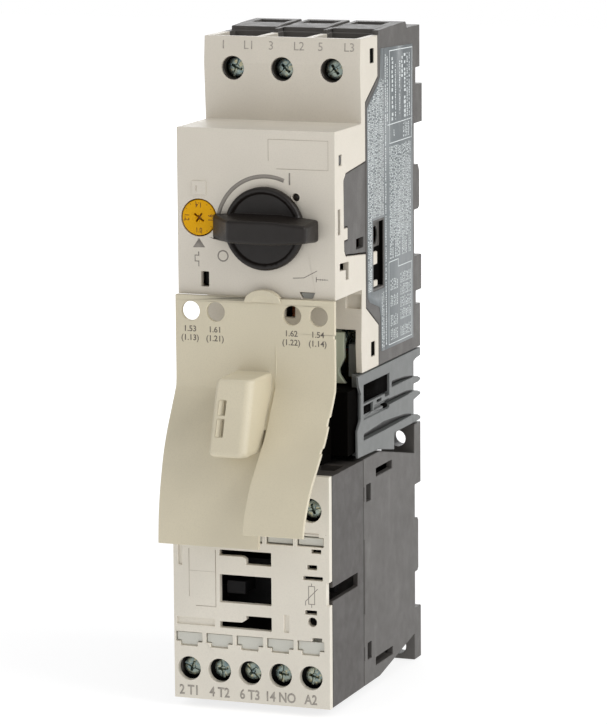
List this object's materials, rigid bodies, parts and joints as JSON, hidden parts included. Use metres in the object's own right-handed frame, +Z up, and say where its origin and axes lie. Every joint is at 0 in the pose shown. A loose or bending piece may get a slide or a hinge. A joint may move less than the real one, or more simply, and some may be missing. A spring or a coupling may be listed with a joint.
{
  "type": "motor protection breaker",
  "caption": "Compact motor starter: a rotary-handle motor protection breaker above a small contactor, joined by a plug-in connector and a clip-on wiring cover.",
  "frame": {"origin": "middle of the breaker's rail seat, the flat floor of its 35 mm rail slot, in its middle plane", "axes": "+X to the right seen from the front, +Y into the mounting panel (the front faces -Y), +Z up"},
  "size_m": [0.0455, 0.0987, 0.1818],
  "materials": {
    "light_cover": "fine matt, light warm grey",
    "link_cover": "satin, warm ivory",
    "dark_housing": "matt dark grey",
    "connector_grey": "matt blue-grey",
    "handle_black": "fine matt black",
    "inner_black": "matt black",
    "dial_yellow": "satin yellow",
    "marker_white": "smooth grey-white",
    "core_steel": "laminated steel",
    "spring_steel": "bright drawn wire",
    "coil_winding": "varnished winding",
    "zinc": "zinc plated, faintly greenish",
    "copper": "bare copper",
    "brass": "tinned brass"
  },
  "bodies": {
    "root": {"breaker_base": "dark_housing", "breaker_cover": "light_cover", "breaker_latch_spring": "spring_steel", "contact_block": "inner_black", "contactor_base": "dark_housing", "contactor_coil": "coil_winding", "contactor_cover": "light_cover", "contactor_fixed_core": "core_steel", "contactor_housing": "dark_housing", "contactor_latch_spring": "spring_steel", "contactor_return_spring": "spring_steel", "line_bar_l1": "copper", "line_bar_l2": "copper", "line_bar_l3": "copper", "link_connector": "connector_grey", "link_cover": "link_cover", "marker_strip_bottom": "marker_white", "marker_strip_top": "marker_white", "phase_link_l1": "brass", "phase_link_l2": "brass", "phase_link_l3": "brass", "switch_mechanism": "core_steel", "terminal_block_bottom": "inner_black", "terminal_block_top": "inner_black", "trip_unit_l1": "copper", "trip_unit_l2": "copper", "trip_unit_l3": "copper"},
    "handle": {"breaker_handle": "handle_black", "handle_shaft": "handle_black"},
    "contact_bridge": {"breaker_contact_bridge": "inner_black"},
    "dial": {"setting_dial": "dial_yellow"},
    "test_slider": {"trip_test_slider": "inner_black"},
    "breaker_latch": {"breaker_rail_latch": "dark_housing"},
    "armature": {"contactor_carrier": "inner_black", "contactor_moving_core": "core_steel"},
    "contactor_latch": {"contactor_rail_latch": "dark_housing"},
    "line_screw_l1": {"line_screw_l1": "zinc"},
    "line_clamp_l1": {"line_clamp_l1": "zinc"},
    "line_screw_l2": {"line_screw_l2": "zinc"},
    "line_clamp_l2": {"line_clamp_l2": "zinc"},
    "line_screw_l3": {"line_screw_l3": "zinc"},
    "line_clamp_l3": {"line_clamp_l3": "zinc"},
    "load_screw_l1": {"load_screw_l1": "zinc"},
    "load_clamp_l1": {"load_clamp_l1": "zinc"},
    "load_screw_l2": {"load_screw_l2": "zinc"},
    "load_clamp_l2": {"load_clamp_l2": "zinc"},
    "load_screw_l3": {"load_screw_l3": "zinc"},
    "load_clamp_l3": {"load_clamp_l3": "zinc"},
    "contactor_screw_top_1": {"contactor_screw_top_1": "zinc"},
    "contactor_screw_top_2": {"contactor_screw_top_2": "zinc"},
    "contactor_screw_top_3": {"contactor_screw_top_3": "zinc"},
    "contactor_screw_top_4": {"contactor_screw_top_4": "zinc"},
    "contactor_screw_top_5": {"contactor_screw_top_5": "zinc"},
    "contactor_screw_bottom_1": {"contactor_screw_bottom_1": "zinc"},
    "contactor_screw_bottom_2": {"contactor_screw_bottom_2": "zinc"},
    "contactor_screw_bottom_3": {"contactor_screw_bottom_3": "zinc"},
    "contactor_screw_bottom_4": {"contactor_screw_bottom_4": "zinc"},
    "contactor_screw_bottom_5": {"contactor_screw_bottom_5": "zinc"}
  },
  "joints": [
    {"name": "handle_turn", "type": "hinge", "parent": "root", "child": "handle", "pos_m": [0.0029, -0.065, -0.0038], "axis": [0, 1, 0], "range_deg": [0, 90]},
    {"name": "contact_bridge_slide", "type": "slide", "parent": "root", "child": "contact_bridge", "axis": [0, 1, 0], "range_m": [0, 0.003]},
    {"name": "dial_turn", "type": "hinge", "parent": "root", "child": "dial", "pos_m": [-0.0163, -0.064, -0.0017], "axis": [0, 1, 0], "range_deg": [0, 270]},
    {"name": "trip_test_press", "type": "slide", "parent": "root", "child": "test_slider", "axis": [0, 1, 0], "range_m": [0, 0.002], "stiffness_N_per_m": 150, "springref_m": -0.002},
    {"name": "breaker_latch_slide", "type": "slide", "parent": "root", "child": "breaker_latch", "axis": [0, 0, -1], "range_m": [0, 0.0035], "stiffness_N_per_m": 600, "springref_m": -0.002, "deforming": ["breaker_latch_spring"]},
    {"name": "armature_slide", "type": "slide", "parent": "root", "child": "armature", "axis": [0, 1, 0], "range_m": [0, 0.0045], "stiffness_N_per_m": 700, "springref_m": -0.003, "deforming": ["contactor_return_spring"]},
    {"name": "contactor_latch_slide", "type": "slide", "parent": "root", "child": "contactor_latch", "axis": [0, 0, -1], "range_m": [0, 0.0035], "stiffness_N_per_m": 600, "springref_m": -0.002, "deforming": ["contactor_latch_spring"]},
    {"name": "line_screw_l1_turn", "type": "hinge", "parent": "root", "child": "line_screw_l1", "pos_m": [-0.0142, -0.038, 0.0366], "axis": [0, 1, 0], "range_deg": [0, 720]},
    {"name": "line_clamp_l1_lift", "type": "slide", "parent": "root", "child": "line_clamp_l1", "axis": [0, -1, 0], "range_m": [0, 0.0014]},
    {"name": "line_screw_l2_turn", "type": "hinge", "parent": "root", "child": "line_screw_l2", "pos_m": [0, -0.038, 0.0366], "axis": [0, 1, 0], "range_deg": [0, 720]},
    {"name": "line_clamp_l2_lift", "type": "slide", "parent": "root", "child": "line_clamp_l2", "axis": [0, -1, 0], "range_m": [0, 0.0014]},
    {"name": "line_screw_l3_turn", "type": "hinge", "parent": "root", "child": "line_screw_l3", "pos_m": [0.0142, -0.038, 0.0366], "axis": [0, 1, 0], "range_deg": [0, 720]},
    {"name": "line_clamp_l3_lift", "type": "slide", "parent": "root", "child": "line_clamp_l3", "axis": [0, -1, 0], "range_m": [0, 0.0014]},
    {"name": "load_screw_l1_turn", "type": "hinge", "parent": "root", "child": "load_screw_l1", "pos_m": [-0.0142, -0.038, -0.0366], "axis": [0, 1, 0], "range_deg": [0, 720]},
    {"name": "load_clamp_l1_lift", "type": "slide", "parent": "root", "child": "load_clamp_l1", "axis": [0, -1, 0], "range_m": [0, 0.0014]},
    {"name": "load_screw_l2_turn", "type": "hinge", "parent": "root", "child": "load_screw_l2", "pos_m": [0, -0.038, -0.0366], "axis": [0, 1, 0], "range_deg": [0, 720]},
    {"name": "load_clamp_l2_lift", "type": "slide", "parent": "root", "child": "load_clamp_l2", "axis": [0, -1, 0], "range_m": [0, 0.0014]},
    {"name": "load_screw_l3_turn", "type": "hinge", "parent": "root", "child": "load_screw_l3", "pos_m": [0.0142, -0.038, -0.0366], "axis": [0, 1, 0], "range_deg": [0, 720]},
    {"name": "load_clamp_l3_lift", "type": "slide", "parent": "root", "child": "load_clamp_l3", "axis": [0, -1, 0], "range_m": [0, 0.0014]},
    {"name": "contactor_screw_top_1_turn", "type": "hinge", "parent": "root", "child": "contactor_screw_top_1", "pos_m": [-0.01816, -0.064, -0.0784], "axis": [0, 1, 0], "range_deg": [0, 720]},
    {"name": "contactor_screw_top_2_turn", "type": "hinge", "parent": "root", "child": "contactor_screw_top_2", "pos_m": [-0.00938, -0.064, -0.0784], "axis": [0, 1, 0], "range_deg": [0, 720]},
    {"name": "contactor_screw_top_3_turn", "type": "hinge", "parent": "root", "child": "contactor_screw_top_3", "pos_m": [-0.0006, -0.064, -0.0784], "axis": [0, 1, 0], "range_deg": [0, 720]},
    {"name": "contactor_screw_top_4_turn", "type": "hinge", "parent": "root", "child": "contactor_screw_top_4", "pos_m": [0.00818, -0.064, -0.0784], "axis": [0, 1, 0], "range_deg": [0, 720]},
    {"name": "contactor_screw_top_5_turn", "type": "hinge", "parent": "root", "child": "contactor_screw_top_5", "pos_m": [0.01696, -0.064, -0.0784], "axis": [0, 1, 0], "range_deg": [0, 720]},
    {"name": "contactor_screw_bottom_1_turn", "type": "hinge", "parent": "root", "child": "contactor_screw_bottom_1", "pos_m": [-0.01816, -0.064, -0.1242], "axis": [0, 1, 0], "range_deg": [0, 720]},
    {"name": "contactor_screw_bottom_2_turn", "type": "hinge", "parent": "root", "child": "contactor_screw_bottom_2", "pos_m": [-0.00938, -0.064, -0.1242], "axis": [0, 1, 0], "range_deg": [0, 720]},
    {"name": "contactor_screw_bottom_3_turn", "type": "hinge", "parent": "root", "child": "contactor_screw_bottom_3", "pos_m": [-0.0006, -0.064, -0.1242], "axis": [0, 1, 0], "range_deg": [0, 720]},
    {"name": "contactor_screw_bottom_4_turn", "type": "hinge", "parent": "root", "child": "contactor_screw_bottom_4", "pos_m": [0.00818, -0.064, -0.1242], "axis": [0, 1, 0], "range_deg": [0, 720]},
    {"name": "contactor_screw_bottom_5_turn", "type": "hinge", "parent": "root", "child": "contactor_screw_bottom_5", "pos_m": [0.01696, -0.064, -0.1242], "axis": [0, 1, 0], "range_deg": [0, 720]}
  ],
  "couplings": [
    {"joint": "handle_turn", "follows": "contact_bridge_slide", "rad_per_m": 523.5},
    {"joint": "line_screw_l1_turn", "follows": "line_clamp_l1_lift", "rad_per_m": 8970},
    {"joint": "line_screw_l2_turn", "follows": "line_clamp_l2_lift", "rad_per_m": 8970},
    {"joint": "line_screw_l3_turn", "follows": "line_clamp_l3_lift", "rad_per_m": 8970},
    {"joint": "load_screw_l1_turn", "follows": "load_clamp_l1_lift", "rad_per_m": 8970},
    {"joint": "load_screw_l2_turn", "follows": "load_clamp_l2_lift", "rad_per_m": 8970},
    {"joint": "load_screw_l3_turn", "follows": "load_clamp_l3_lift", "rad_per_m": 8970}
  ]
}
